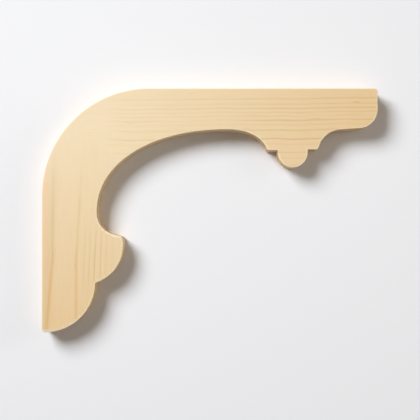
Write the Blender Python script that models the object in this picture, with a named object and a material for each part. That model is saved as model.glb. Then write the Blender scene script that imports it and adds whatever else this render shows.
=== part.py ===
"""Scroll corner bracket in plain pine, for the corner between a post and a beam.

Metres, +Z up. +X runs along the long arm to its free end and the front face looks along -Y. The origin
is the middle of the flat top edge, halfway through the thickness.

The outline is drawn from the outer corner, the point where the lines of the two flat edges cross: x runs
right from it, and z runs down from it as negative values. Two boards are mitred and glued there, and the
whole outline is then sawn from the glued blank, so both boards share it.
"""

from math import acos, asin, atan2, ceil, cos, hypot, pi, radians, sin, sqrt

import bmesh
import bpy
from mathutils import Vector

# The two arms, and the round outer corner that joins their flat edges.
BEAM_LENGTH = 0.300
POST_LENGTH = 0.218
THICKNESS = 0.020
OUTER_CORNER_RADIUS = 0.0955

# The free end of the long arm: a lip with a round lower corner, a little above the crown of the coves.
CROWN_DEPTH = 0.0365
LIP_RISE = 0.0010
LIP_LENGTH = 0.0313
LIP_RADIUS = 0.0167

# From the lip inwards: a cove, a step, the half-round bead, a step and a flatter cove. Drops are
# measured down from the crown.
OUTER_COVE_RADIUS = 0.0224
OUTER_STEP_DROP = 0.0179
OUTER_STEP_WIDTH = 0.0092
BEAD_RADIUS = 0.0134
BEAD_DROP = 0.0206
INNER_STEP_DROP = 0.0186
INNER_STEP_WIDTH = 0.0094
INNER_COVE_WIDTH = 0.0349
INNER_COVE_HEIGHT = 0.0219

# The arch is a squarish oval from its crown to the waist, the narrowest place of the short arm.
WAIST_WIDTH = 0.0489
WAIST_HEIGHT = 0.107
ARCH_POWER = 2.14

# The foot of the arch runs out to the tip, and two lobes lead from the tip down to the flat foot.
FOOT_RADIUS = 0.0202
FOOT_SLOPE = radians(15.4)
FOOT_RUN = 0.0080
UPPER_LOBE_RADIUS = 0.0349
UPPER_LOBE_LEAN = radians(12.9)
LOWER_LOBE_RADIUS = 0.0450
FOOT_FLAT = 0.0026

# Sanded corners of the outline, the eased arrises round both faces, and the glued mitre.
END_EASE = 0.0025
NOSE_EASE = 0.0012
SAW_CORNER = 0.0008
ARRIS = 0.0008
MITRE_ANGLE = radians(45)
GLUE_GAP = 0.0003

# How finely curves are cut: the most that a facet strays from its arc, and points along the rest.
FACET_SAG = 0.00003
EASE_POINTS = 4
ARCH_POINTS = 44
COVE_POINTS = 14
ARRIS_SEGMENTS = 2
SMOOTH_ANGLE = radians(30)

PINE_ROUGHNESS = 0.62
LONG_ARM_COLOUR = (0.80, 0.60, 0.36, 1.0)
SHORT_ARM_COLOUR = (0.79, 0.58, 0.34, 1.0)


def clear_scene():
    """Removes whatever the scene holds."""
    for found in list(bpy.data.objects):
        bpy.data.objects.remove(found, do_unlink=True)


def arc(centre, radius, start, end):
    """Points on a circle from one angle to another, both in radians."""
    step = 2 * acos(1 - FACET_SAG / radius)
    count = max(2, ceil(abs(end - start) / step))
    angles = (start + (end - start) * i / count for i in range(count + 1))
    return [centre + radius * Vector((cos(a), sin(a))) for a in angles]


def oval(centre, width, height, power, angles):
    """Points on an oval, squarer as the power passes 2. A negative width runs it to the left."""
    return [
        centre + Vector((width * cos(a) ** (2 / power), height * sin(a) ** (2 / power)))
        for a in angles
    ]


def spread(start, end, count):
    """Angles spaced evenly from start to end."""
    return [start + (end - start) * i / count for i in range(count + 1)]


def outer_corner():
    """The large round outer corner, from the flat back of the short arm to the flat top."""
    centre = Vector((OUTER_CORNER_RADIUS, -OUTER_CORNER_RADIUS))
    return arc(centre, OUTER_CORNER_RADIUS, pi, pi / 2)


def lip():
    """The long arm's free end, down to its round lower corner."""
    centre = Vector((BEAM_LENGTH - LIP_RADIUS, LIP_RISE - CROWN_DEPTH + LIP_RADIUS))
    return arc(centre, LIP_RADIUS, 0, -pi / 2)


def outer_cove():
    """From the lip down to the step beside the bead."""
    centre = Vector((BEAM_LENGTH - LIP_LENGTH, -CROWN_DEPTH - OUTER_COVE_RADIUS))
    rise = OUTER_COVE_RADIUS - OUTER_STEP_DROP
    return arc(centre, OUTER_COVE_RADIUS, pi / 2, pi - asin(rise / OUTER_COVE_RADIUS))


def bead():
    """The half-round bead, with the short straight sides that stand on the steps."""
    right = outer_cove()[-1] - Vector((OUTER_STEP_WIDTH, 0))
    centre = Vector((right.x - BEAD_RADIUS, -CROWN_DEPTH - BEAD_DROP))
    left = Vector((centre.x - BEAD_RADIUS, -CROWN_DEPTH - INNER_STEP_DROP))
    return [right, *arc(centre, BEAD_RADIUS, 0, -pi), left]


def inner_cove():
    """From the step beside the bead up to the crown of the arch."""
    start = asin((INNER_COVE_HEIGHT - INNER_STEP_DROP) / INNER_COVE_HEIGHT)
    end = bead()[-1].x - INNER_STEP_WIDTH
    centre = Vector((end - INNER_COVE_WIDTH * cos(start), -CROWN_DEPTH - INNER_COVE_HEIGHT))
    angles = spread(start, pi / 2, COVE_POINTS)
    return oval(centre, INNER_COVE_WIDTH, INNER_COVE_HEIGHT, 2, angles)


def arch():
    """From the crown down to the waist of the short arm."""
    crown = inner_cove()[-1]
    centre = Vector((crown.x, WAIST_HEIGHT - POST_LENGTH))
    angles = spread(pi / 2, 0, ARCH_POINTS)
    return oval(centre, WAIST_WIDTH - crown.x, crown.y - centre.y, ARCH_POWER, angles)


def foot():
    """From the waist round the foot of the arch, and straight on to the tip."""
    centre = Vector((WAIST_WIDTH + FOOT_RADIUS, WAIST_HEIGHT - POST_LENGTH))
    curve = arc(centre, FOOT_RADIUS, pi, 3 / 2 * pi - FOOT_SLOPE)
    return [*curve, curve[-1] + FOOT_RUN * Vector((cos(FOOT_SLOPE), -sin(FOOT_SLOPE)))]


def lobes():
    """The two lobes, from the tip to the notch and from the notch to the flat foot."""
    lean = Vector((cos(UPPER_LOBE_LEAN), sin(UPPER_LOBE_LEAN)))
    upper = foot()[-1] - UPPER_LOBE_RADIUS * lean
    lower = Vector((FOOT_FLAT, LOWER_LOBE_RADIUS - POST_LENGTH))
    notch = crossing(upper, UPPER_LOBE_RADIUS, lower, LOWER_LOBE_RADIUS)
    upper_end = atan2(notch.y - upper.y, notch.x - upper.x)
    lower_start = atan2(notch.y - lower.y, notch.x - lower.x)
    return (
        arc(upper, UPPER_LOBE_RADIUS, UPPER_LOBE_LEAN, upper_end),
        arc(lower, LOWER_LOBE_RADIUS, lower_start, -pi / 2),
    )


def crossing(upper, upper_radius, lower, lower_radius):
    """The point on the right where two circles cross."""
    apart = hypot(*(lower - upper))
    towards = (lower - upper) / apart
    along = (upper_radius**2 - lower_radius**2 + apart**2) / (2 * apart)
    across = sqrt(upper_radius**2 - along**2)
    return upper + towards * along + Vector((-towards.y, towards.x)) * across


def cut_back(run, reach):
    """A run with its first stretch taken off: the new first point, and the points that stay."""
    kept = list(run)
    while len(kept) > 2 and (kept[1] - kept[0]).length < reach:
        reach -= (kept[1] - kept[0]).length
        kept.pop(0)
    return kept[0] + (kept[1] - kept[0]).normalized() * reach, kept[1:]


def eased(before, after, ease):
    """Joins two runs that meet at a corner, with the corner rounded over an ease to each side."""
    corner = before[-1]
    start, head = cut_back(before[::-1], ease)
    end, tail = cut_back(after, ease)
    curve = [
        start.lerp(corner, t).lerp(corner.lerp(end, t), t) for t in spread(0, 1, EASE_POINTS)
    ]
    return [*head[::-1], *curve, *tail]


def outline():
    """The whole outline, clockwise from the top of the short arm's flat back as the front is seen."""
    top_corner = Vector((BEAM_LENGTH, 0))
    foot_corner = Vector((0, -POST_LENGTH))
    upper_lobe, lower_lobe = lobes()
    stretches = [
        ([top_corner, *lip(), *outer_cove()], END_EASE),
        ([outer_cove()[-1], bead()[0]], NOSE_EASE),
        (bead(), SAW_CORNER),
        ([bead()[-1], inner_cove()[0]], SAW_CORNER),
        ([*inner_cove(), *arch()[1:], *foot()[1:]], NOSE_EASE),
        (upper_lobe, NOSE_EASE),
        ([*lower_lobe, foot_corner], SAW_CORNER),
        ([foot_corner, outer_corner()[0]], END_EASE),
    ]
    run = [*outer_corner(), top_corner]
    for stretch, ease in stretches:
        run = eased(run, stretch, ease)
    return run[:-1]


def glued_blank(seat_x):
    """The whole bracket sawn from the glued boards, with its arrises eased, as a bmesh."""
    mesh = bmesh.new()
    rim = [mesh.verts.new((p.x - seat_x, -THICKNESS / 2, p.y)) for p in outline()]
    front = mesh.faces.new(rim)
    extruded = bmesh.ops.extrude_face_region(mesh, geom=[front])["geom"]
    back = [item for item in extruded if isinstance(item, bmesh.types.BMVert)]
    bmesh.ops.translate(mesh, verts=back, vec=(0, THICKNESS, 0))
    bmesh.ops.recalc_face_normals(mesh, faces=mesh.faces)
    arrises = [edge for edge in mesh.edges if edge.verts[0].co.y == edge.verts[1].co.y]
    bmesh.ops.bevel(
        mesh,
        geom=arrises,
        offset=ARRIS,
        offset_type="OFFSET",
        segments=ARRIS_SEGMENTS,
        profile=0.5,
        affect="EDGES",
    )
    return mesh


def board(name, side, colour):
    """One board: what the mitre leaves of the glued blank on one side of the glue line.

    The side is 1 for the long arm and -1 for the short arm.
    """
    seat_x = (OUTER_CORNER_RADIUS + BEAM_LENGTH) / 2
    mesh = glued_blank(seat_x)
    across = side * Vector((sin(MITRE_ANGLE), 0, cos(MITRE_ANGLE)))
    cut = bmesh.ops.bisect_plane(
        mesh,
        geom=[*mesh.verts, *mesh.edges, *mesh.faces],
        plane_co=across * GLUE_GAP / 2 - Vector((seat_x, 0, 0)),
        plane_no=across,
        clear_inner=True,
    )["geom_cut"]
    mitre_edges = [item for item in cut if isinstance(item, bmesh.types.BMEdge)]
    bmesh.ops.edgeloop_fill(mesh, edges=mitre_edges)
    bmesh.ops.recalc_face_normals(mesh, faces=mesh.faces)
    data = bpy.data.meshes.new(name)
    mesh.to_mesh(data)
    mesh.free()
    data.shade_smooth()
    data.set_sharp_from_angle(angle=SMOOTH_ANGLE)
    data.materials.append(pine(name, colour))
    bpy.context.scene.collection.objects.link(bpy.data.objects.new(name, data))


def pine(name, colour):
    """Plain sanded pine."""
    material = bpy.data.materials.new(f"{name}_pine")
    material.use_nodes = True
    shader = material.node_tree.nodes["Principled BSDF"]
    shader.inputs["Base Color"].default_value = colour
    shader.inputs["Roughness"].default_value = PINE_ROUGHNESS
    shader.inputs["Metallic"].default_value = 0.0
    return material


def main():
    clear_scene()
    board("long_arm", 1, LONG_ARM_COLOUR)
    board("short_arm", -1, SHORT_ARM_COLOUR)


main()
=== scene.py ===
"""Looks of the scroll corner bracket: two pine boards, mitred and glued, and sawn to one scrolled outline.

Metres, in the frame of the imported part: +X runs along the long arm, +Z is up and the front looks to -Y.
The outline is drawn from the outer corner, where the lines of the two flat edges cross.
"""

import logging
from collections.abc import Sequence
from dataclasses import dataclass, field
from enum import Enum
from math import asin, atan2, ceil, cos, hypot, pi, radians, sin, sqrt

import bmesh
import bpy
import numpy as np
from mathutils import Matrix, Vector
from mathutils.geometry import delaunay_2d_cdt
from mathutils.kdtree import KDTree


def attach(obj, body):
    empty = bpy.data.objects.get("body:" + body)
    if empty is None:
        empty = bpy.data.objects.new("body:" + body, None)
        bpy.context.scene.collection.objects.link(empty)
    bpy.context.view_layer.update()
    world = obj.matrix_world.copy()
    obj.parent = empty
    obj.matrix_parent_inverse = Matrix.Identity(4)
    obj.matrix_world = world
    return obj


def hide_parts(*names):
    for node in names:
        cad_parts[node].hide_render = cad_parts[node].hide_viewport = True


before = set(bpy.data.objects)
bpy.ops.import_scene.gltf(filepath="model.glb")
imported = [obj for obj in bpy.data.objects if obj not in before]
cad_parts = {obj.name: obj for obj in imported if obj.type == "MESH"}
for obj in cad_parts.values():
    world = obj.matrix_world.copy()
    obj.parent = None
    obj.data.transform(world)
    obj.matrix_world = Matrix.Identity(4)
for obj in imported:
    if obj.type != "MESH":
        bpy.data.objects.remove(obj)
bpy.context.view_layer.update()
LOG = logging.getLogger("bracket")
MILLIMETRES = 1000
QUAD = 4
ELLIPSE = 2
INNER_TRIANGLES = 1

Colour = tuple[float, float, float, float]
Socket = bpy.types.NodeSocket
Input = Socket | float | str | tuple[float, ...]


class Grain(Enum):
    """The way that the grain of a board runs, as the front is seen."""

    LEVEL = "level"
    UPRIGHT = "upright"


class Cut(Enum):
    """How a stretch of the outline was cut, as the share of saw ripple that is left on it."""

    PLANED = 0.0
    SAWN = 1.0


class Wiring:
    """Adds nodes to a node tree and joins them, so that a tree reads as a list of steps.

    The Mix node's colour sockets share their names with others, so they go by number.
    """

    FIRST_COLOUR = 6
    SECOND_COLOUR = 7
    MIXED_COLOUR = 2

    def __init__(self, tree: bpy.types.NodeTree) -> None:
        """Takes the tree to add to.

        Args:
            tree: A shader tree or a Geometry Nodes tree.
        """
        self.tree = tree

    def add(
        self, kind: str, inputs: dict[str | int, Input] | None = None, **settings: object
    ) -> bpy.types.Node:
        """Adds one node.

        Args:
            kind: The node's type name.
            inputs: Values or output sockets for its inputs, by name or by number.
            settings: The node's own properties.

        Returns:
            The new node.
        """
        node = self.tree.nodes.new(kind)
        for name, value in settings.items():
            setattr(node, name, value)
        for key, value in (inputs or {}).items():
            self.feed(node.inputs[key], value)
        return node

    def feed(self, socket: Socket, value: Input) -> None:
        """Joins an output socket to an input, or sets the input's own value.

        Args:
            socket: The input.
            value: The output socket or the value.
        """
        if isinstance(value, Socket):
            self.tree.links.new(value, socket)
        else:
            socket.default_value = value

    def math(self, operation: str, first: Input, second: Input = 0.0, clamp: bool = False) -> Socket:
        """One sum on two numbers.

        Args:
            operation: The Math node's operation.
            first: A number or a socket.
            second: A number or a socket.
            clamp: Whether the result is kept from 0 to 1.

        Returns:
            The socket with the result.
        """
        node = self.add("ShaderNodeMath", {0: first, 1: second}, operation=operation, use_clamp=clamp)
        return node.outputs[0]

    def smooth(self, value: Input, low: float, high: float) -> Socket:
        """A value made 0 below one limit, 1 above another and smooth between them.

        Args:
            value: A number or a socket.
            low: The limit where the result leaves 0.
            high: The limit where it reaches 1.

        Returns:
            The socket with the result.
        """
        node = self.add(
            "ShaderNodeMapRange",
            {"Value": value, "From Min": low, "From Max": high},
            interpolation_type="SMOOTHSTEP",
        )
        return node.outputs["Result"]

    def mix(self, share: Input, first: Input, second: Input, blend: str = "MIX") -> Socket:
        """Two colours mixed.

        Args:
            share: How far the second colour comes in, from 0 to 1.
            first: A colour or a socket.
            second: A colour or a socket.
            blend: The Mix node's way of mixing.

        Returns:
            The socket with the mixed colour.
        """
        node = self.add("ShaderNodeMix", data_type="RGBA", blend_type=blend)
        self.feed(node.inputs["Factor"], share)
        self.feed(node.inputs[self.FIRST_COLOUR], first)
        self.feed(node.inputs[self.SECOND_COLOUR], second)
        return node.outputs[self.MIXED_COLOUR]


@dataclass(frozen=True)
class SawnOutline:
    """The outline sawn from the glued blank. Each size is the real one, in metres."""

    beam_length: float = 0.300
    post_length: float = 0.218
    outer_corner_radius: float = 0.0955
    crown_depth: float = 0.0365
    lip_rise: float = 0.0010
    lip_length: float = 0.0313
    lip_radius: float = 0.0167
    outer_cove_radius: float = 0.0224
    outer_step_drop: float = 0.0179
    outer_step_width: float = 0.0092
    bead_radius: float = 0.0134
    bead_drop: float = 0.0206
    inner_step_drop: float = 0.0186
    inner_step_width: float = 0.0094
    inner_cove_width: float = 0.0349
    inner_cove_height: float = 0.0219
    waist_width: float = 0.0489
    waist_height: float = 0.107
    arch_power: float = 2.14
    foot_radius: float = 0.0202
    foot_slope: float = radians(15.4)
    foot_run: float = 0.0080
    upper_lobe_radius: float = 0.0349
    upper_lobe_lean: float = radians(12.9)
    lower_lobe_radius: float = 0.0450
    foot_flat: float = 0.0026
    end_ease: float = 0.0025
    nose_ease: float = 0.0012
    saw_corner: float = 0.0008
    spacing: float = 0.0006
    ease_points: int = 6
    fewest_steps: int = 3

    @property
    def seat_x(self) -> float:
        """How far the middle of the flat top edge, which is the origin, is from the outer corner."""
        return (self.outer_corner_radius + self.beam_length) / 2

    def spread(self, start: float, end: float, count: int) -> list[float]:
        """Values spaced evenly from start to end."""
        return [start + (end - start) * i / count for i in range(count + 1)]

    def arc(self, centre: Vector, radius: float, start: float, end: float) -> list[Vector]:
        """Points on a circle.

        Args:
            centre: The middle of the circle.
            radius: Its radius.
            start: The first angle, in radians.
            end: The last angle.

        Returns:
            Points no further apart than the spacing.
        """
        count = max(self.fewest_steps, ceil(radius * abs(end - start) / self.spacing))
        return [centre + radius * Vector((cos(a), sin(a))) for a in self.spread(start, end, count)]

    def oval(
        self, centre: Vector, width: float, height: float, power: float, angles: list[float]
    ) -> list[Vector]:
        """Points on an oval.

        Args:
            centre: The middle of the oval.
            width: Half its width, negative where it runs to the left.
            height: Half its height.
            power: How square it is: 2 for an ellipse, and squarer above that.
            angles: The angles of the points, in radians.

        Returns:
            One point for each angle.
        """
        return [
            centre + Vector((width * cos(a) ** (2 / power), height * sin(a) ** (2 / power))) for a in angles
        ]

    def outer_corner(self) -> list[Vector]:
        """The large round outer corner, from the flat back of the short arm to the flat top."""
        centre = Vector((self.outer_corner_radius, -self.outer_corner_radius))
        return self.arc(centre, self.outer_corner_radius, pi, pi / 2)

    def lip(self) -> list[Vector]:
        """The long arm's free end, down to its round lower corner."""
        height = self.lip_rise - self.crown_depth + self.lip_radius
        return self.arc(Vector((self.beam_length - self.lip_radius, height)), self.lip_radius, 0, -pi / 2)

    def outer_cove(self) -> list[Vector]:
        """From the lip down to the step beside the bead.

        Returns:
            The points of the cove, from its top.
        """
        centre = Vector((self.beam_length - self.lip_length, -self.crown_depth - self.outer_cove_radius))
        rise = self.outer_cove_radius - self.outer_step_drop
        return self.arc(centre, self.outer_cove_radius, pi / 2, pi - asin(rise / self.outer_cove_radius))

    def bead(self) -> list[Vector]:
        """The half-round bead, with the short straight sides that stand on the steps.

        Returns:
            The points of the bead, from the step on its right to the one on its left.
        """
        right = self.outer_cove()[-1] - Vector((self.outer_step_width, 0))
        centre = Vector((right.x - self.bead_radius, -self.crown_depth - self.bead_drop))
        left = Vector((centre.x - self.bead_radius, -self.crown_depth - self.inner_step_drop))
        return [right, *self.arc(centre, self.bead_radius, 0, -pi), left]

    def inner_cove(self) -> list[Vector]:
        """From the step beside the bead up to the crown of the arch.

        Returns:
            The points of the cove, from the step.
        """
        start = asin((self.inner_cove_height - self.inner_step_drop) / self.inner_cove_height)
        end = self.bead()[-1].x - self.inner_step_width
        middle = end - self.inner_cove_width * cos(start)
        centre = Vector((middle, -self.crown_depth - self.inner_cove_height))
        count = ceil((self.inner_cove_width + self.inner_cove_height) / self.spacing)
        angles = self.spread(start, pi / 2, count)
        return self.oval(centre, self.inner_cove_width, self.inner_cove_height, ELLIPSE, angles)

    def arch(self) -> list[Vector]:
        """From the crown down to the waist of the short arm.

        Returns:
            The points of the arch, from the crown.
        """
        crown = self.inner_cove()[-1]
        centre = Vector((crown.x, self.waist_height - self.post_length))
        width = self.waist_width - crown.x
        height = crown.y - centre.y
        angles = self.spread(pi / 2, 0, ceil((height - width) / self.spacing))
        return self.oval(centre, width, height, self.arch_power, angles)

    def foot(self) -> list[Vector]:
        """From the waist round the foot of the arch, and straight on to the tip.

        Returns:
            The points, from the waist.
        """
        centre = Vector((self.waist_width + self.foot_radius, self.waist_height - self.post_length))
        curve = self.arc(centre, self.foot_radius, pi, 3 / 2 * pi - self.foot_slope)
        return [*curve, curve[-1] + self.foot_run * Vector((cos(self.foot_slope), -sin(self.foot_slope)))]

    def lobes(self) -> tuple[list[Vector], list[Vector]]:
        """The two lobes of the scroll.

        Returns:
            The points from the tip to the notch, and those from the notch to the flat foot.
        """
        lean = Vector((cos(self.upper_lobe_lean), sin(self.upper_lobe_lean)))
        upper = self.foot()[-1] - self.upper_lobe_radius * lean
        lower = Vector((self.foot_flat, self.lower_lobe_radius - self.post_length))
        notch = self.crossing(upper, lower)
        upper_end = atan2(notch.y - upper.y, notch.x - upper.x)
        lower_start = atan2(notch.y - lower.y, notch.x - lower.x)
        return (
            self.arc(upper, self.upper_lobe_radius, self.upper_lobe_lean, upper_end),
            self.arc(lower, self.lower_lobe_radius, lower_start, -pi / 2),
        )

    def crossing(self, upper: Vector, lower: Vector) -> Vector:
        """The notch, where the circles of the two lobes cross on the right.

        Args:
            upper: The middle of the upper circle.
            lower: The middle of the lower circle.

        Returns:
            The point where they cross.
        """
        apart = hypot(*(lower - upper))
        towards = (lower - upper) / apart
        along = (self.upper_lobe_radius**2 - self.lower_lobe_radius**2 + apart**2) / (2 * apart)
        across = sqrt(self.upper_lobe_radius**2 - along**2)
        return upper + towards * along + Vector((-towards.y, towards.x)) * across

    def cut_back(self, run: Sequence[Vector], reach: float) -> tuple[Vector, list[Vector]]:
        """A run with its first stretch taken off.

        Args:
            run: The points of the run.
            reach: The length to take off.

        Returns:
            The new first point, and the points that stay.
        """
        kept = list(run)
        while len(kept) > 2 and (kept[1] - kept[0]).length < reach:
            reach -= (kept[1] - kept[0]).length
            kept.pop(0)
        return kept[0] + (kept[1] - kept[0]).normalized() * reach, kept[1:]

    def eased(self, before: list[Vector], after: list[Vector], ease: float) -> list[Vector]:
        """Joins two runs that meet at a corner, and rounds the corner.

        Args:
            before: The run that ends at the corner.
            after: The run that starts there.
            ease: How far to each side the rounding reaches.

        Returns:
            The points of both runs as one.
        """
        corner = before[-1]
        start, head = self.cut_back(before[::-1], ease)
        end, tail = self.cut_back(after, ease)
        curve = [
            start.lerp(corner, t).lerp(corner.lerp(end, t), t) for t in self.spread(0, 1, self.ease_points)
        ]
        return [*head[::-1], *curve, *tail]

    def corners(self) -> list[Vector]:
        """The whole outline, with its straight stretches left whole.

        Returns:
            The points, clockwise as the front is seen, from the top of the short arm's flat back.
        """
        top_corner = Vector((self.beam_length, 0))
        foot_corner = Vector((0, -self.post_length))
        upper_lobe, lower_lobe = self.lobes()
        stretches = [
            ([top_corner, *self.lip(), *self.outer_cove()], self.end_ease),
            ([self.outer_cove()[-1], self.bead()[0]], self.nose_ease),
            (self.bead(), self.saw_corner),
            ([self.bead()[-1], self.inner_cove()[0]], self.saw_corner),
            ([*self.inner_cove(), *self.arch()[1:], *self.foot()[1:]], self.nose_ease),
            (upper_lobe, self.nose_ease),
            ([*lower_lobe, foot_corner], self.saw_corner),
            ([foot_corner, self.outer_corner()[0]], self.end_ease),
        ]
        run = [*self.outer_corner(), top_corner]
        for stretch, ease in stretches:
            run = self.eased(run, stretch, ease)
        return run[:-1]

    def points(self) -> list[Vector]:
        """The outline with its straight stretches divided as finely as its curves.

        Returns:
            The points, in the order of the corners.
        """
        corners = self.corners()
        found = []
        for here, ahead in zip(corners, [*corners[1:], corners[0]], strict=True):
            count = max(1, ceil((ahead - here).length / self.spacing))
            found += [here.lerp(ahead, i / count) for i in range(count)]
        return found


@dataclass(frozen=True)
class SawnEdge:
    """The edge wall with its two eased arrises, swept along the outline by Geometry Nodes."""

    outline: SawnOutline
    thickness: float = 0.020
    arris: float = 0.0004
    rows: int = 19
    ripple: float = 0.00006
    ripple_pitch: float = 0.004
    ripple_stretch: float = 0.1
    seed: int = 4

    def path(self) -> bpy.types.Object:
        """The outline as a closed line in the XY plane, with how each point was cut.

        Returns:
            The line's object.
        """
        points = self.outline.points()
        mesh = bpy.data.meshes.new("outline_path")
        count = len(points)
        mesh.from_pydata([(p.x, p.y, 0) for p in points], [(i, (i + 1) % count) for i in range(count)], [])
        sawn = mesh.attributes.new("sawn", "FLOAT", "POINT")
        for share, point in zip(sawn.data, points, strict=True):
            planed = min(point.x, -point.y) < self.outline.spacing
            share.value = (Cut.PLANED if planed else Cut.SAWN).value
        path = bpy.data.objects.new("outline_path", mesh)
        bpy.context.scene.collection.objects.link(path)
        return path

    def inputs(self, material: bpy.types.Material) -> dict[str, tuple[str, object]]:
        """The tree's named inputs.

        Args:
            material: The finish that the last node sets.

        Returns:
            The socket type and the value of each input, by its name.
        """
        return {
            "Thickness": ("NodeSocketFloat", self.thickness),
            "Arris": ("NodeSocketFloat", self.arris),
            "Rows": ("NodeSocketInt", self.rows),
            "Ripple": ("NodeSocketFloat", self.ripple),
            "Ripple pitch": ("NodeSocketFloat", self.ripple_pitch),
            "Seed": ("NodeSocketFloat", float(self.seed)),
            "Seat": ("NodeSocketFloat", self.outline.seat_x),
            "Pine": ("NodeSocketMaterial", material),
        }

    def tree(self, material: bpy.types.Material) -> bpy.types.GeometryNodeTree:
        """The tree that sweeps the edge's section along the outline.

        Args:
            material: The finish that the last node sets.

        Returns:
            The node tree.
        """
        tree = bpy.data.node_groups.new("sawn_edge", "GeometryNodeTree")
        tree.interface.new_socket("Geometry", in_out="INPUT", socket_type="NodeSocketGeometry")
        tree.interface.new_socket("Geometry", in_out="OUTPUT", socket_type="NodeSocketGeometry")
        for name, (kind, _) in self.inputs(material).items():
            tree.interface.new_socket(name, in_out="INPUT", socket_type=kind)
        wires = Wiring(tree)
        given = tree.nodes.new("NodeGroupInput").outputs
        curve = wires.add("GeometryNodeMeshToCurve", {"Mesh": given["Geometry"]}).outputs[0]
        flat = wires.add("GeometryNodeSetCurveNormal", {"Curve": curve}, mode="Z_UP").outputs[0]
        section = self.section(wires, given)
        swept = wires.add("GeometryNodeCurveToMesh", {"Curve": flat, "Profile Curve": section}).outputs[0]
        rippled = self.rippled(wires, given, swept)
        quarter_turn = wires.add(
            "GeometryNodeTransform", {"Geometry": rippled, "Rotation": (pi / 2, 0, 0)}
        ).outputs[0]
        back = wires.math("MULTIPLY", given["Seat"], -1)
        offset = wires.add("ShaderNodeCombineXYZ", {"X": back}).outputs[0]
        seated = wires.add(
            "GeometryNodeTransform", {"Geometry": quarter_turn, "Translation": offset}
        ).outputs[0]
        real = wires.add("GeometryNodeRealizeInstances", {"Geometry": seated}).outputs[0]
        dressed = wires.add("GeometryNodeSetMaterial", {"Geometry": real, "Material": given["Pine"]})
        wires.add("NodeGroupOutput", {"Geometry": dressed.outputs[0]})
        return tree

    def section(self, wires: Wiring, given: bpy.types.NodeOutputs) -> Socket:
        """The section across the edge: a straight wall whose rows close up towards two round arrises.

        Args:
            wires: The tree.
            given: The tree's named inputs.

        Returns:
            The socket with the section's curve.
        """
        line = wires.add(
            "GeometryNodeCurvePrimitiveLine", {"Start": (0, 1, 0), "End": (0, -1, 0)}
        ).outputs[0]
        rows = wires.add("GeometryNodeResampleCurve", {"Curve": line, "Count": given["Rows"]}, mode="COUNT")
        place = wires.add("GeometryNodeInputPosition").outputs[0]
        height = wires.add("ShaderNodeSeparateXYZ", {0: place}).outputs["Y"]
        half = wires.math("DIVIDE", given["Thickness"], 2)
        inward = wires.math("SUBTRACT", 1, wires.math("ABSOLUTE", height))
        closed_up = wires.math("MULTIPLY", inward, inward)
        row_height = wires.math("MULTIPLY", half, wires.math("SUBTRACT", 1, closed_up))
        signed = wires.math("MULTIPLY", row_height, wires.math("SIGN", height))
        into_face = wires.math("DIVIDE", wires.math("MULTIPLY", half, closed_up), given["Arris"])
        rise = wires.math("SUBTRACT", 1, into_face, clamp=True)
        run = wires.math("SQRT", wires.math("SUBTRACT", 1, wires.math("MULTIPLY", rise, rise)))
        inset = wires.math("MULTIPLY", given["Arris"], wires.math("SUBTRACT", 1, run))
        point = wires.add("ShaderNodeCombineXYZ", {"X": inset, "Y": signed}).outputs[0]
        return wires.add(
            "GeometryNodeSetPosition", {"Geometry": rows.outputs[0], "Position": point}
        ).outputs[0]

    def rippled(self, wires: Wiring, given: bpy.types.NodeOutputs, swept: Socket) -> Socket:
        """The swept wall with the faint ripple that a bandsaw and a sander leave, pressed inwards.

        Args:
            wires: The tree.
            given: The tree's named inputs.
            swept: The wall.

        Returns:
            The socket with the rippled wall.
        """
        place = wires.add("GeometryNodeInputPosition").outputs[0]
        height = wires.add("ShaderNodeSeparateXYZ", {0: place}).outputs["Z"]
        half = wires.math("DIVIDE", given["Thickness"], 2)
        below = wires.math("SUBTRACT", half, wires.math("ABSOLUTE", height))
        clear = wires.math("DIVIDE", below, given["Arris"], clamp=True)
        stretched = wires.add(
            "ShaderNodeVectorMath", {0: place, 1: (1, 1, self.ripple_stretch)}, operation="MULTIPLY"
        ).outputs[0]
        closeness = wires.math("DIVIDE", 1, given["Ripple pitch"])
        grain = wires.add(
            "ShaderNodeTexNoise",
            {"Vector": stretched, "W": given["Seed"], "Scale": closeness},
            noise_dimensions="4D",
        ).outputs[0]
        sawn = wires.add("GeometryNodeInputNamedAttribute", {"Name": "sawn"}, data_type="FLOAT").outputs[0]
        depth = wires.math("MULTIPLY", wires.math("MULTIPLY", grain, given["Ripple"]), sawn)
        inwards = wires.math("MULTIPLY", wires.math("MULTIPLY", depth, clear), -1)
        normal = wires.add("GeometryNodeInputNormal").outputs[0]
        offset = wires.add(
            "ShaderNodeVectorMath", {0: normal, "Scale": inwards}, operation="SCALE"
        ).outputs[0]
        return wires.add("GeometryNodeSetPosition", {"Geometry": swept, "Offset": offset}).outputs[0]

    def mesh(self, material: bpy.types.Material) -> bpy.types.Mesh:
        """The swept edge as a plain mesh, open at both faces.

        Args:
            material: The finish that the tree sets.

        Returns:
            A mesh in the row frame.
        """
        path = self.path()
        tree = self.tree(material)
        sweep = path.modifiers.new("sawn_edge", "NODES")
        sweep.node_group = tree
        named = {item.name: item.identifier for item in tree.interface.items_tree if item.in_out == "INPUT"}
        for name, (_, value) in self.inputs(material).items():
            sweep[named[name]] = value
        evaluated = path.evaluated_get(bpy.context.evaluated_depsgraph_get())
        mesh = bpy.data.meshes.new_from_object(evaluated)
        path.modifiers.remove(sweep)
        bpy.data.objects.remove(path, do_unlink=True)
        return mesh


@dataclass(frozen=True)
class Wave:
    """One part of the slow sway of the rings along a board."""

    height: float
    rate: float
    start: float = 0.0
    shear: float = 0.0


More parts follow.
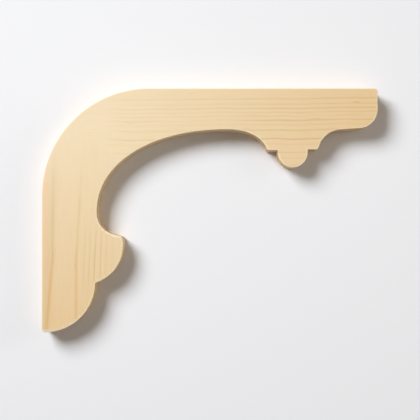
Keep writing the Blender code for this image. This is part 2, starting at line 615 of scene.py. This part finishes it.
@dataclass(frozen=True)
class Rings:
    """How the growth rings run through one board, worked out for each point of its mesh."""

    grain: Grain
    widths: tuple[float, ...]
    darkness: tuple[float, ...]
    lean: float
    run_out: float
    sway: float
    sway_length: float
    phase: float
    strength: tuple[tuple[float, float], ...]
    # Where the warmer tone and the painted shade start and become full, along the grain.
    warmth_and_shade: tuple[float, float]
    late_width: float = 0.0025
    most_late: float = 0.6
    relief: float = 0.00003
    press_start: float = 0.25
    front: float = -0.010
    least_sway: float = 0.3
    waves: tuple[Wave, ...] = (Wave(1.0, 1.0), Wave(0.5, 2.3, start=1.1), Wave(0.3, 4.1, shear=60.0))

    def along_across(self, places: np.ndarray, seat_x: float) -> tuple[np.ndarray, np.ndarray]:
        """How far each point is along the grain and across it, both from the outer corner.

        Args:
            places: Points in the row frame, one in a row.
            seat_x: The distance from the outer corner to the origin.

        Returns:
            The distances along the grain, and those across it.
        """
        right = places[:, 0] + seat_x
        down = -places[:, 2]
        return (right, down) if self.grain is Grain.LEVEL else (down, right)

    def number(self, places: np.ndarray, seat_x: float) -> np.ndarray:
        """The ring that each point is in, with the share of that ring passed so far.

        Args:
            places: Points in the row frame, one in a row.
            seat_x: The distance from the outer corner to the origin.

        Returns:
            One number for each point, which grows away from the board's flat edge.
        """
        along, across = self.along_across(places, seat_x)
        turns = 2 * pi * along / self.sway_length + self.phase
        drift = sum(w.height * np.sin(w.rate * turns + w.start + w.shear * across) for w in self.waves)
        swayed = across + self.sway * drift * (self.least_sway + across / across.max())
        edges = np.cumsum([0.0, *self.widths])
        deeper = swayed + self.lean * (places[:, 1] - self.front) + self.run_out * along
        return np.interp(deeper, edges, np.arange(len(edges)))

    def shown(self, places: np.ndarray, number: np.ndarray, seat_x: float) -> np.ndarray:
        """How strongly the ring at each point shows.

        Args:
            places: Points in the row frame, one in a row.
            number: The ring that each point is in.
            seat_x: The distance from the outer corner to the origin.

        Returns:
            One number from 0 to 1 for each point.
        """
        along, _ = self.along_across(places, seat_x)
        own = np.array(self.darkness)[np.minimum(number.astype(int), len(self.darkness) - 1)]
        return own * np.interp(along, *np.transpose(self.strength))

    def early(self, number: np.ndarray) -> np.ndarray:
        """The share of its ring at which the late wood starts, at each point."""
        width = np.array(self.widths)[np.minimum(number.astype(int), len(self.widths) - 1)]
        return 1 - np.minimum(self.most_late, self.late_width / width)

    def warmed_and_shaded(self, places: np.ndarray, seat_x: float) -> np.ndarray:
        """How much warmer and darker the wood is at each point, the darkening being painted shade that
        grows away from the light at the outer corner.

        Args:
            places: Points in the row frame, one in a row.
            seat_x: The distance from the outer corner to the origin.

        Returns:
            One number for each point, from 0 near the corner to 1 towards the free end.
        """
        along, _ = self.along_across(places, seat_x)
        near, far = self.warmth_and_shade
        return np.clip((along - near) / (far - near), 0, 1)

    def pressed(self, number: np.ndarray) -> np.ndarray:
        """How far the softer early wood of each ring is sanded below its late wood, in metres."""
        share = number % 1
        return self.relief * (1 + np.cos(2 * pi * share)) / 2 * np.clip(share / self.press_start, 0, 1)


@dataclass(frozen=True)
class Streak:
    """A soft band of colour that runs nearly along the grain, such as a resin streak.

    Its middle is given from the outer corner, where it crosses the distance start along the grain.
    """

    name: str
    tint: Colour
    start: float
    across: float
    run_out: float
    half_width: float
    strength: tuple[tuple[float, float], ...]

    def share(self, along: np.ndarray, across: np.ndarray) -> np.ndarray:
        """How strongly the streak tints each point.

        Args:
            along: Distances along the grain from the outer corner.
            across: Distances across the grain.

        Returns:
            One number from 0 to 1 for each point.
        """
        off = (across - self.across - self.run_out * (along - self.start)) / self.half_width
        return np.exp(-(off**2)) * np.interp(along, *np.transpose(self.strength))


@dataclass(frozen=True)
class PineFinish:
    """Plain sanded pine, with its colours as linear light."""

    name: str
    rings: Rings
    streaked: tuple[Streak, ...] = ()
    pale: Colour = (0.880, 0.704, 0.463, 1.0)
    # Warmer, darker wood far from the outer corner: partly a warmer tone, partly painted shade away from
    # the light.
    warm_shaded: Colour = (0.812, 0.587, 0.320, 1.0)
    late_tint: Colour = (0.85, 0.77, 0.66, 1.0)
    pink_tint: Colour = (1.02, 0.985, 0.98, 1.0)
    straw_tint: Colour = (0.985, 1.0, 0.95, 1.0)
    fibre_tint: Colour = (0.965, 0.945, 0.90, 1.0)
    cut_tint: Colour = (0.82, 0.73, 0.58, 1.0)
    # Pale arris colour: partly paler sanded wood and partly a painted highlight along the edges.
    sanded_and_highlight_colour: Colour = (0.96, 0.82, 0.58, 1.0)
    fleck_colour: Colour = (0.42, 0.24, 0.10, 1.0)
    stretch: float = 0.03
    fibre_scale: float = 1400.0
    fibre_detail: float = 4.0
    fibre_shows: tuple[float, float] = (0.45, 0.75)
    fibre_depth: float = 0.00004
    fibre_bump: float = 0.5
    roughness: float = 0.58
    roughness_range: float = 0.12
    sanded_and_highlight_share: float = 0.6
    patch_scale: float = 90.0
    patch_detail: float = 2.0
    patch_shows: tuple[float, float] = (0.50, 0.70)
    late_build: float = 0.85
    late_scale: float = 270.0
    late_shows: tuple[float, float] = (0.15, 0.50)
    fleck_detail: float = 1.0
    fleck_scale: float = 1820.0
    fleck_shows: tuple[float, float] = (0.74, 0.80)
    sparse_scale: float = 560.0
    sparse_shows: tuple[float, float] = (0.55, 0.65)

    def material(self) -> bpy.types.Material:
        """The node material, which reads what the board's mesh carries at each point.

        Returns:
            The new material.
        """
        material = bpy.data.materials.new(self.name)
        material.use_nodes = True
        wires = Wiring(material.node_tree)
        shader = material.node_tree.nodes["Principled BSDF"]
        place = wires.add("ShaderNodeTexCoord").outputs["Object"]
        fibres = self.streaks(wires, place, self.fibre_scale, self.fibre_detail)
        # Wood turns warmer and darker towards the free ends; the darkening is painted shade away from the
        # light.
        colour = wires.mix(self.carried(wires, "warmth_and_shade"), self.pale, self.warm_shaded)
        colour = self.patched(wires, place, colour)
        for streak in self.streaked:
            colour = wires.mix(self.carried(wires, streak.name), colour, streak.tint, "MULTIPLY")
        late = wires.math("MULTIPLY", self.late_share(wires, place), self.carried(wires, "figure"))
        colour = wires.mix(late, colour, self.late_tint, "MULTIPLY")
        dark_fibre = wires.smooth(fibres, *self.fibre_shows)
        colour = wires.mix(dark_fibre, colour, self.fibre_tint, "MULTIPLY")
        colour = wires.mix(self.carried(wires, "cut"), colour, self.cut_tint, "MULTIPLY")
        arris = wires.math("MINIMUM", self.carried(wires, "arris"), 1)
        # Pale arris line laid on the colour: partly sanded paleness and partly a painted highlight.
        colour = wires.mix(wires.math("MULTIPLY", arris, self.sanded_and_highlight_share), colour, self.sanded_and_highlight_colour)
        colour = wires.mix(self.flecks(wires, place), colour, self.fleck_colour)
        wires.feed(shader.inputs["Base Color"], colour)
        varied = wires.math("MULTIPLY", fibres, self.roughness_range)
        roughness = wires.math("ADD", varied, self.roughness - self.roughness_range / 2)
        wires.feed(shader.inputs["Roughness"], roughness)
        bump = wires.add(
            "ShaderNodeBump", {"Height": fibres, "Distance": self.fibre_depth, "Strength": self.fibre_bump}
        )
        wires.feed(shader.inputs["Normal"], bump.outputs[0])
        return material

    def carried(self, wires: Wiring, name: str) -> Socket:
        """A value that the board's mesh carries."""
        return wires.add("ShaderNodeAttribute", attribute_name=name).outputs["Fac"]

    def streaks(self, wires: Wiring, place: Socket, scale: float, detail: float) -> Socket:
        """Noise drawn out along the grain, which turns to specks where the wood is cut across.

        Args:
            wires: The material's tree.
            place: Object coordinates.
            scale: How close the streaks are, for each metre across the grain.
            detail: How many finer layers the noise has.

        Returns:
            A value about 0.5.
        """
        long = scale * self.stretch
        stretched = (long, scale, scale) if self.rings.grain is Grain.LEVEL else (scale, scale, long)
        drawn = wires.add("ShaderNodeMapping", {"Vector": place, "Scale": stretched}).outputs[0]
        return wires.add("ShaderNodeTexNoise", {"Vector": drawn, "Scale": 1.0, "Detail": detail}).outputs[0]

    def patched(self, wires: Wiring, place: Socket, colour: Socket) -> Socket:
        """The colour with long soft patches, some pinker and some more like straw.

        Args:
            wires: The material's tree.
            place: Object coordinates.
            colour: The colour so far.

        Returns:
            The socket with the patched colour.
        """
        patches = self.streaks(wires, place, self.patch_scale, self.patch_detail)
        colour = wires.mix(wires.smooth(patches, *self.patch_shows), colour, self.pink_tint, "MULTIPLY")
        straw = wires.smooth(wires.math("SUBTRACT", 1, patches), *self.patch_shows)
        return wires.mix(straw, colour, self.straw_tint, "MULTIPLY")

    def late_share(self, wires: Wiring, place: Socket) -> Socket:
        """How much of the darker late wood shows: it builds up through a ring and then stops.

        Args:
            wires: The material's tree.
            place: Object coordinates.

        Returns:
            The socket with a share from 0 to 1.
        """
        ring = self.carried(wires, "ring")
        early = self.carried(wires, "early")
        since = wires.math("SUBTRACT", wires.math("FRACT", ring), early)
        passed = wires.math("DIVIDE", since, wires.math("SUBTRACT", 1, early))
        build = wires.smooth(passed, 0.0, self.late_build)
        stop = wires.smooth(wires.math("SUBTRACT", 1, passed), 0.0, 1 - self.late_build)
        length = self.streaks(wires, place, self.late_scale, self.patch_detail)
        broken = wires.smooth(length, *self.late_shows)
        return wires.math("MULTIPLY", wires.math("MULTIPLY", build, stop), broken)

    def flecks(self, wires: Wiring, place: Socket) -> Socket:
        """A few thin brown dashes along the grain, left by resin canals.

        Args:
            wires: The material's tree.
            place: Object coordinates.

        Returns:
            The socket with a share from 0 to 1.
        """
        dashes = self.streaks(wires, place, self.fleck_scale, self.fleck_detail)
        sparse = self.streaks(wires, place, self.sparse_scale, self.fleck_detail)
        shown = wires.smooth(dashes, *self.fleck_shows)
        return wires.math("MULTIPLY", shown, wires.smooth(sparse, *self.sparse_shows))


@dataclass(frozen=True)
class Board:
    """One arm: what the mitre leaves of the sawn blank on one side of the glue line."""

    name: str
    slot: str
    side: int
    finish: PineFinish
    edge: SawnEdge
    glue_gap: float = 0.00001
    net_across: float = 0.0006
    net_along: float = 0.0030
    rim_clearance: float = 0.0004
    smooth_angle: float = radians(35)
    # Strength of the pale arris line: partly sanded paleness, partly a painted highlight.
    sanded_and_highlight_rim: float = 1.6
    rim_share: float = 0.05
    outward: float = 0.95
    long_cut: float = 0.6
    cut_share: float = 0.5
    face_tolerance: float = 1e-6
    weld: float = 1e-8

    @property
    def mitre_normal(self) -> Vector:
        """The direction across the glue line, into this board."""
        return self.side * Vector((sin(pi / 4), 0, cos(pi / 4)))

    def net(self, rim: np.ndarray) -> np.ndarray:
        """Points inside one face, spaced finely across the grain and widely along it.

        Args:
            rim: The face's edge, one point in a row, as x and z.

        Returns:
            The points inside the rim that are on this board's side of the glue line.
        """
        level = self.finish.rings.grain is Grain.LEVEL
        steps = (self.net_along, self.net_across) if level else (self.net_across, self.net_along)
        low, high = rim.min(0), rim.max(0)
        columns = [np.arange(low[k], high[k], steps[k]) for k in (0, 1)]
        grid = np.stack(np.meshgrid(*columns), -1)
        grid[::2, :, 0] += steps[0] / 2
        grid = grid.reshape(-1, 2)
        across = self.mitre_normal
        depth = (grid[:, 0] + self.edge.outline.seat_x) * across.x + grid[:, 1] * across.z
        grid = grid[depth > -self.net_along]
        inside = np.zeros(len(grid), bool)
        for here, ahead in zip(rim, np.roll(rim, -1, 0), strict=True):
            if here[1] == ahead[1]:
                continue
            crosses = (grid[:, 1] >= min(here[1], ahead[1])) & (grid[:, 1] < max(here[1], ahead[1]))
            at = here[0] + (grid[:, 1] - here[1]) * (ahead[0] - here[0]) / (ahead[1] - here[1])
            inside ^= crosses & (grid[:, 0] < at)
        near = KDTree(len(rim))
        for i, point in enumerate(rim):
            near.insert((*point, 0), i)
        near.balance()
        return np.array([p for p in grid[inside] if near.find((*p, 0))[2] > self.rim_clearance])

    def fill_face(self, mesh: bmesh.types.BMesh, rim: list[bmesh.types.BMVert]) -> None:
        """Fills one open face of the swept edge with a net of triangles.

        Args:
            mesh: The mesh that the rim belongs to.
            rim: The rim's vertices, in order.
        """
        flat = np.array([(v.co.x, v.co.z) for v in rim])
        net = self.net(flat)
        points = [Vector(p) for p in [*flat, *net]]
        count = len(rim)
        joined = [(i, (i + 1) % count) for i in range(count)]
        _, _, faces, *_ = delaunay_2d_cdt(points, joined, [], INNER_TRIANGLES, self.weld)
        level = rim[0].co.y
        corners = [*rim, *(mesh.verts.new((x, level, z)) for x, z in net)]
        for face in faces:
            mesh.faces.new([corners[i] for i in face])

    def blank(self, material: bpy.types.Material) -> bmesh.types.BMesh:
        """The whole sawn blank, closed, before the mitre parts it.

        Args:
            material: The finish that the swept edge carries.

        Returns:
            The blank's mesh.
        """
        mesh = bmesh.new()
        mesh.from_mesh(self.edge.mesh(material))
        self.note_edge(mesh)
        open_edges = {edge for edge in mesh.edges if edge.is_boundary}
        while open_edges:
            edge = open_edges.pop()
            first, vert = edge.verts
            rim = [first]
            while vert is not first:
                rim.append(vert)
                edge = next(e for e in vert.link_edges if e in open_edges)
                open_edges.remove(edge)
                vert = edge.other_vert(vert)
            self.fill_face(mesh, rim)
        return mesh

    def note_edge(self, mesh: bmesh.types.BMesh) -> None:
        """Stores where the open edge gets a pale arris line, partly sanded paleness and partly a painted
        highlight, and how squarely it cuts the grain.

        The arrises of the flat edges and the outer corner, which face up and outwards towards the light,
        are left without the pale line.

        Args:
            mesh: The swept edge, before its faces are filled.
        """
        arris = mesh.verts.layers.float.new("arris")
        cut = mesh.verts.layers.float.new("cut")
        mesh.normal_update()
        face = self.edge.thickness / 2
        level = self.finish.rings.grain is Grain.LEVEL
        for vert in mesh.verts:
            depth = face - abs(vert.co.y)
            squareness = (vert.normal.x if level else vert.normal.z) ** 2
            outer = vert.normal.z - vert.normal.x > self.outward * hypot(vert.normal.x, vert.normal.z)
            # Pale arris line, partly sanded paleness and partly a painted highlight, only on arrises facing
            # away from the light.
            vert[arris] = self.sanded_and_highlight_rim * (depth < self.rim_share * self.edge.arris and not outer)
            strength = self.long_cut + (1 - self.long_cut) * squareness
            vert[cut] = strength * (depth > self.cut_share * self.edge.arris)

    def mesh(self) -> bpy.types.Mesh:
        """This board's share of the blank, closed at the mitre.

        Returns:
            The mesh, with its finish.
        """
        material = self.finish.material()
        mesh = self.blank(material)
        start = self.mitre_normal * self.glue_gap / 2 - Vector((self.edge.outline.seat_x, 0, 0))
        cut = bmesh.ops.bisect_plane(
            mesh,
            geom=[*mesh.verts, *mesh.edges, *mesh.faces],
            plane_co=start,
            plane_no=self.mitre_normal,
            clear_inner=True,
        )["geom_cut"]
        bmesh.ops.edgeloop_fill(mesh, edges=[item for item in cut if isinstance(item, bmesh.types.BMEdge)])
        bmesh.ops.recalc_face_normals(mesh, faces=mesh.faces)
        bmesh.ops.triangulate(mesh, faces=[face for face in mesh.faces if len(face.verts) > QUAD])
        data = bpy.data.meshes.new(self.name)
        mesh.to_mesh(data)
        mesh.free()
        data.materials.append(material)
        return data

    def mark(self, data: bpy.types.Mesh) -> None:
        """Presses the rings into the faces, and stores what the finish reads at each point.

        Args:
            data: The board's mesh.
        """
        count = len(data.vertices)
        places = np.zeros(count * 3, np.float32)
        data.vertices.foreach_get("co", places)
        places = places.reshape(-1, 3).astype(float)
        rings = self.finish.rings
        seat_x = self.edge.outline.seat_x
        number = rings.number(places, seat_x)
        figure = rings.shown(places, number, seat_x)
        on_face = np.abs(np.abs(places[:, 1]) - self.edge.thickness / 2) < self.face_tolerance
        places[:, 1] -= np.sign(places[:, 1]) * rings.pressed(number) * on_face
        data.vertices.foreach_set("co", places.astype(np.float32).ravel())
        carried = {
            "ring": number,
            "figure": figure,
            "early": rings.early(number),
            "warmth_and_shade": rings.warmed_and_shaded(places, seat_x),
        }
        for streak in self.finish.streaked:
            carried[streak.name] = streak.share(*rings.along_across(places, seat_x))
        for name, values in carried.items():
            data.attributes.new(name, "FLOAT", "POINT").data.foreach_set("value", values.astype(np.float32))
        data.shade_smooth()
        data.set_sharp_from_angle(angle=self.smooth_angle)

    def build(self) -> bpy.types.Object:
        """Builds the board, dresses it and puts it in its CAD node's place.

        Returns:
            The finished board.
        """
        data = self.mesh()
        self.mark(data)
        piece = bpy.data.objects.new(f"{self.name}_board", data)
        bpy.context.scene.collection.objects.link(piece)
        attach(piece, "root")
        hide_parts(self.name)
        LOG.info("%s: %d vertices, %d faces", piece.name, len(data.vertices), len(data.polygons))
        return piece


@dataclass(frozen=True)
class Lamp:
    """A round soft light, placed from the middle of the picture and turned to it."""

    name: str
    place: tuple[float, float, float]
    size: float
    strength: float
    tint: tuple[float, float, float]

    def build(self, target: Vector) -> None:
        """Builds the light, which doesn't weaken with distance and isn't seen itself.

        Args:
            target: The point that the light is turned to.
        """
        data = bpy.data.lights.new(self.name, "AREA")
        data.shape = "DISK"
        data.size = self.size
        data.energy = 1.0
        data.color = self.tint
        data.use_nodes = True
        wires = Wiring(data.node_tree)
        even = wires.add("ShaderNodeLightFalloff", {"Strength": self.strength}).outputs["Constant"]
        wires.feed(data.node_tree.nodes["Emission"].inputs["Strength"], even)
        light = bpy.data.objects.new(self.name, data)
        bpy.context.scene.collection.objects.link(light)
        light.visible_camera = False
        away = Vector(self.place)
        light.location = target + away
        light.rotation_euler = (-away).to_track_quat("-Z", "Y").to_euler()


@dataclass(frozen=True)
class Studio:
    """A pale wall and floor, soft light from the upper left, and the camera."""

    thickness: float
    wall_sink: float = 0.0002
    wall_reach: float = 2.0
    floor_drop: float = 1.0
    paint: Colour = (0.86, 0.86, 0.87, 1.0)
    paint_roughness: float = 0.9
    paint_gloss: float = 0.2
    softbox: Lamp = Lamp("softbox", (-0.695, -0.850, 0.660), 0.66, 11.93, (0.924, 0.959, 1.0))
    side_fill: Lamp = Lamp("side_fill", (0.550, -0.250, 0.120), 0.35, 1.86, (1.0, 0.965, 0.867))
    back_fill: Lamp = Lamp("back_fill", (-0.500, 1.300, 0.700), 1.20, 8.0, (1.0, 0.98, 0.95))
    world_light: float = 0.1935
    world_tint: Colour = (1.0, 0.877, 0.787, 1.0)
    backdrop_radius: float = 5.0
    backdrop_segments: int = 64
    backdrop_light: float = 0.80
    floor_tint: Colour = (0.43, 0.43, 0.435, 1.0)
    floor_glow: float = 0.60
    camera_distance: float = 0.68
    frame_width: float = 0.3752
    aim: tuple[float, float] = (-0.0476, -0.1086)
    camera_drop: float = 0.013
    sensor: float = 0.036

    def wall_paint(self) -> bpy.types.Material:
        """Matt white paint, which is there from the front alone.

        Returns:
            The new material.
        """
        material = bpy.data.materials.new("wall_paint")
        material.use_nodes = True
        wires = Wiring(material.node_tree)
        shader = material.node_tree.nodes["Principled BSDF"]
        shader.inputs["Base Color"].default_value = self.paint
        shader.inputs["Roughness"].default_value = self.paint_roughness
        shader.inputs["Specular IOR Level"].default_value = self.paint_gloss
        behind = wires.add("ShaderNodeNewGeometry").outputs["Backfacing"]
        open_side = wires.add("ShaderNodeBsdfTransparent").outputs[0]
        shown = wires.add("ShaderNodeMixShader", {0: behind, 1: shader.outputs[0], 2: open_side})
        out = material.node_tree.nodes["Material Output"]
        wires.feed(out.inputs["Surface"], shown.outputs[0])
        return material

    def floor_paint(self) -> bpy.types.Material:
        """Matt white floor paint, lifted a little so that the floor stays pale far from the lights.

        Returns:
            The new material.
        """
        material = bpy.data.materials.new("floor_paint")
        material.use_nodes = True
        shader = material.node_tree.nodes["Principled BSDF"]
        shader.inputs["Base Color"].default_value = self.floor_tint
        shader.inputs["Roughness"].default_value = self.paint_roughness
        shader.inputs["Emission Color"].default_value = self.paint
        shader.inputs["Emission Strength"].default_value = self.floor_glow
        return material

    def staged(self, name: str, shape: bmesh.types.BMesh, material: bpy.types.Material) -> bpy.types.Object:
        """One piece of the stage.

        Args:
            name: Its name.
            shape: Its shape, which is freed here.
            material: Its paint.

        Returns:
            The new object.
        """
        data = bpy.data.meshes.new(name)
        shape.to_mesh(data)
        shape.free()
        data.materials.append(material)
        piece = bpy.data.objects.new(name, data)
        bpy.context.scene.collection.objects.link(piece)
        return piece

    def wall(self) -> None:
        """The wall, just inside the bracket's back."""
        sheet = bmesh.new()
        bmesh.ops.create_grid(sheet, size=self.wall_reach)
        bmesh.ops.rotate(sheet, verts=sheet.verts, matrix=Matrix.Rotation(pi / 2, 3, "X"))
        bmesh.ops.translate(sheet, verts=sheet.verts, vec=(0, self.thickness / 2 - self.wall_sink, 0))
        self.staged("wall", sheet, self.wall_paint())

    def floor(self) -> None:
        """The round floor well below the bracket, which throws no light back."""
        disc = bmesh.new()
        reach = sqrt(self.backdrop_radius**2 - self.floor_drop**2)
        bmesh.ops.create_circle(disc, cap_ends=True, segments=self.backdrop_segments, radius=reach)
        bmesh.ops.translate(disc, verts=disc.verts, vec=(0, 0, -self.floor_drop))
        self.staged("floor", disc, self.floor_paint()).visible_diffuse = False

    def backdrop(self) -> None:
        """A pale dome that closes the view round the stage, seen alone and casting nothing."""
        shell = bmesh.new()
        turns = self.backdrop_segments
        bmesh.ops.create_uvsphere(
            shell, u_segments=turns, v_segments=turns // 2, radius=self.backdrop_radius
        )
        bmesh.ops.reverse_faces(shell, faces=shell.faces)
        dome = self.staged("backdrop", shell, self.backdrop_paint())
        dome.visible_diffuse = False
        dome.visible_glossy = False
        dome.visible_shadow = False

    def backdrop_paint(self) -> bpy.types.Material:
        """An even pale glow.

        Returns:
            The new material.
        """
        material = bpy.data.materials.new("backdrop_paint")
        material.use_nodes = True
        wires = Wiring(material.node_tree)
        glow = wires.add("ShaderNodeEmission", {"Color": self.paint, "Strength": self.backdrop_light})
        wires.feed(material.node_tree.nodes["Material Output"].inputs["Surface"], glow.outputs[0])
        return material

    def world(self) -> None:
        """The soft light of the room, which fills the shadows."""
        world = bpy.data.worlds.new("pale_room")
        world.use_nodes = True
        background = world.node_tree.nodes["Background"]
        background.inputs["Color"].default_value = self.world_tint
        background.inputs["Strength"].default_value = self.world_light
        bpy.context.scene.world = world

    def camera(self) -> None:
        """The camera, square to the face and a little low, with a shift that keeps uprights upright."""
        data = bpy.data.cameras.new("camera")
        data.sensor_width = self.sensor * MILLIMETRES
        data.lens = data.sensor_width * self.camera_distance / self.frame_width
        data.shift_y = self.camera_drop / self.frame_width
        camera = bpy.data.objects.new("camera", data)
        bpy.context.scene.collection.objects.link(camera)
        front = -self.thickness / 2
        camera.location = (self.aim[0], front - self.camera_distance, self.aim[1] - self.camera_drop)
        camera.rotation_euler = (pi / 2, 0, 0)
        bpy.context.scene.camera = camera

    def build(self) -> None:
        """Builds the stage, the light and the camera, and has colours shown as they are."""
        self.wall()
        self.floor()
        self.backdrop()
        self.world()
        for lamp in (self.softbox, self.side_fill, self.back_fill):
            lamp.build(Vector((self.aim[0], 0, self.aim[1])))
        self.camera()
        bpy.context.scene.view_settings.view_transform = "Standard"
        LOG.info("studio: wall, floor, backdrop, lights and camera")


@dataclass
class CornerBracket:
    """The whole bracket: two boards with one sawn outline."""

    edge: SawnEdge = field(default_factory=lambda: SawnEdge(SawnOutline()))

    def long_arm(self) -> Board:
        """The level board, whose close and even rings run with the flat top edge.

        Returns:
            The board, ready to be built.
        """
        rings = Rings(
            grain=Grain.LEVEL,
            widths=(
                0.0120, 0.0046, 0.0037, 0.0036, 0.0032, 0.0039, 0.0039,
                0.0048, 0.0079, 0.0046, 0.0073, 0.0049, 0.0060,
            ),
            darkness=(0.65, 0.45, 0.70, 0.45, 0.45, 0.85, 0.35, 0.50, 1.0, 0.25, 0.50, 0.25, 0.30),
            lean=0.35,
            run_out=0.009,
            sway=0.0005,
            sway_length=0.12,
            phase=5.66,
            strength=((0.055, 0.0), (0.075, 0.6), (0.17, 0.6), (0.20, 1.0)),
            warmth_and_shade=(0.06, 0.29),
        )
        return Board("long_arm", "long_arm_pine", 1, PineFinish("long_arm_pine", rings), self.edge)

    def short_arm(self) -> Board:
        """The upright board, with one very wide ring at its back and closer ones towards the scroll.

        Returns:
            The board, ready to be built.
        """
        rings = Rings(
            grain=Grain.UPRIGHT,
            widths=(0.0453, 0.0045, 0.0047, 0.0052, 0.0047, 0.0060),
            darkness=(0.5, 0.4, 0.65, 0.5, 0.35, 0.2),
            lean=-0.6,
            run_out=0.045,
            sway=0.0004,
            sway_length=0.42,
            phase=2.0,
            strength=((0.055, 0.0), (0.120, 0.1), (0.140, 1.0), (0.165, 1.0), (0.182, 0.2)),
            warmth_and_shade=(0.04, 0.208),
        )
        finish = PineFinish("short_arm_pine", rings, self.short_arm_streaks())
        return Board("short_arm", "short_arm_pine", -1, finish, self.edge)

    def short_arm_streaks(self) -> tuple[Streak, ...]:
        """The straw and amber streaks of the upright board, and the darker, pinker wood at its flat back.

        Returns:
            The streaks, in the order in which they are laid on.
        """
        straw = (0.93, 0.92, 0.80, 1.0)
        amber = (0.95, 0.84, 0.70, 1.0)
        pink = (0.99, 0.950, 0.955, 1.0)
        green = (0.94, 1.0, 0.97, 1.0)
        shade = (0.93, 0.935, 0.90, 1.0)
        upper = ((0.055, 0.0), (0.080, 0.5), (0.110, 1.0), (0.145, 1.0), (0.158, 0.0))
        lower = ((0.140, 0.0), (0.155, 1.0), (0.200, 1.0), (0.218, 0.8))
        all_down = ((0.055, 0.0), (0.080, 0.6), (0.120, 1.0))
        midway = ((0.060, 0.0), (0.090, 1.0), (0.160, 1.0), (0.180, 0.0))
        foot = ((0.165, 0.0), (0.180, 1.0), (0.218, 1.0))
        return (
            Streak("back_shade", shade, 0.135, 0.0075, -0.054, 0.0045, all_down),
            Streak("back_straw", straw, 0.110, 0.0099, -0.010, 0.0014, upper),
            Streak("back_amber", amber, 0.180, 0.0071, -0.086, 0.0014, lower),
            Streak("middle_straw", straw, 0.110, 0.0332, -0.057, 0.0012, upper),
            Streak("middle_amber", amber, 0.170, 0.0306, -0.006, 0.0011, lower),
            Streak("back_pink", pink, 0.100, 0.0025, 0.0, 0.0030, midway),
            Streak("foot_green", green, 0.180, 0.0018, 0.0, 0.0012, foot),
        )

    def build(self) -> None:
        """Builds both boards."""
        for board in (self.long_arm(), self.short_arm()):
            board.build()


def main() -> None:
    logging.basicConfig(level=logging.INFO, format="%(message)s")
    LOG.info("packed nodes to dress: %d", len(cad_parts))
    bracket = CornerBracket()
    bracket.build()
    Studio(thickness=bracket.edge.thickness).build()


if __name__ == "__main__":
    main()
